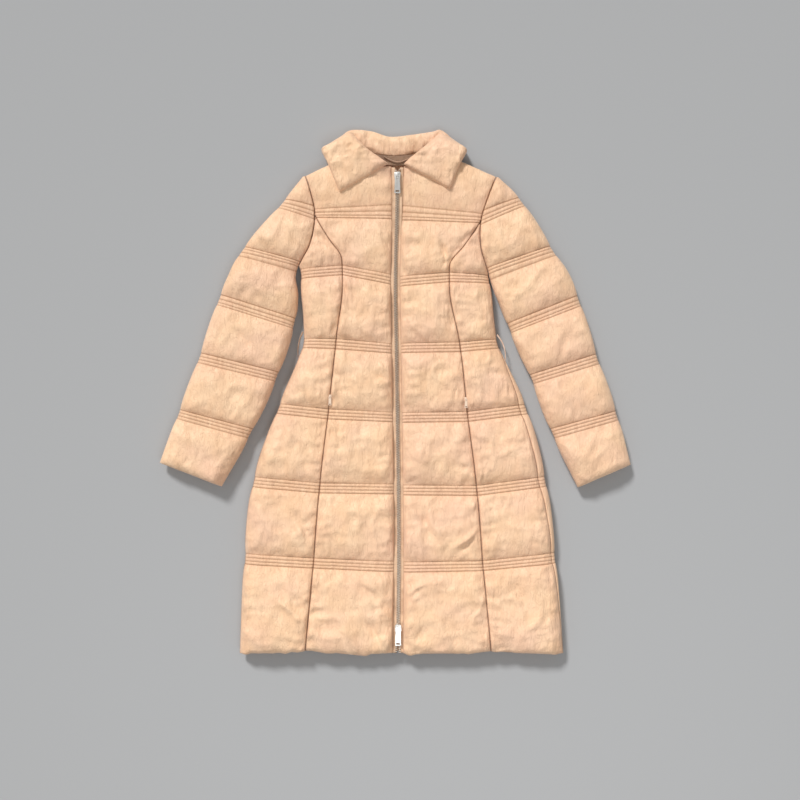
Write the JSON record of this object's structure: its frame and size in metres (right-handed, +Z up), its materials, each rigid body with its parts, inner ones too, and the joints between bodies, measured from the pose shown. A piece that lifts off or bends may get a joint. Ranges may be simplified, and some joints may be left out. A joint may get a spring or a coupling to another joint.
{
  "type": "long quilted puffer coat laid flat",
  "caption": "Long padded coat, zipped up and laid flat on its back, with banded quilting, princess seams, a folded padded collar and a two-way zip whose pull tabs swing",
  "frame": {"origin": "on the flat underside, on the centre line of the coat, halfway along it", "axes": "+Y from the hem to the collar, +X to the wearer's left, +Z up off the surface that it lies on"},
  "size_m": [0.933, 1.045, 0.0432],
  "materials": {
    "shell": "crinkled woven shell with a soft sheen",
    "facing": "smooth woven lining",
    "tape": "ribbed zip tape",
    "teeth": "dull plated teeth",
    "steel": "polished nickel plate",
    "pocket_metal": "enamelled in a pale shade of the cloth"
  },
  "bodies": {
    "coat": {"front_centre_right": "shell", "front_centre_left": "shell", "front_side_right": "shell", "front_side_left": "shell", "back_centre": "shell", "back_side_right": "shell", "back_side_left": "shell", "sleeve_top_right": "shell", "sleeve_top_left": "shell", "sleeve_under_right": "shell", "sleeve_under_left": "shell", "collar": "shell", "hanger_loop": "shell", "belt_loop_right": "shell", "belt_loop_left": "shell", "back_neck_inside": "facing", "zip_tape_right": "tape", "zip_tape_left": "tape", "pocket_zip_right": "tape", "pocket_zip_left": "tape", "zip_teeth_right": "teeth", "zip_teeth_left": "teeth", "zip_slider_top": "steel", "zip_slider_bottom": "steel", "pocket_slider_right": "pocket_metal", "pocket_slider_left": "pocket_metal"},
    "top_pull": {"zip_pull_top": "steel"},
    "bottom_pull": {"zip_pull_bottom": "steel"},
    "right_pocket_pull": {"pocket_pull_right": "pocket_metal"},
    "left_pocket_pull": {"pocket_pull_left": "pocket_metal"}
  },
  "joints": [
    {"name": "top_pull_hinge", "type": "hinge", "parent": "coat", "child": "top_pull", "pos_m": [0.00083, 0.427, 0.0335], "axis": [-1, 0, 0], "range_deg": [0, 160]},
    {"name": "bottom_pull_hinge", "type": "hinge", "parent": "coat", "child": "bottom_pull", "pos_m": [0.0022, -0.468, 0.0335], "axis": [-1, 0, 0], "range_deg": [0, 160]},
    {"name": "right_pocket_pull_hinge", "type": "hinge", "parent": "coat", "child": "right_pocket_pull", "pos_m": [-0.13204, -0.0099, 0.04052], "axis": [-1, 0, 0], "range_deg": [0, 160]},
    {"name": "left_pocket_pull_hinge", "type": "hinge", "parent": "coat", "child": "left_pocket_pull", "pos_m": [0.13616, -0.01491, 0.04052], "axis": [-1, 0, 0], "range_deg": [0, 160]}
  ]
}
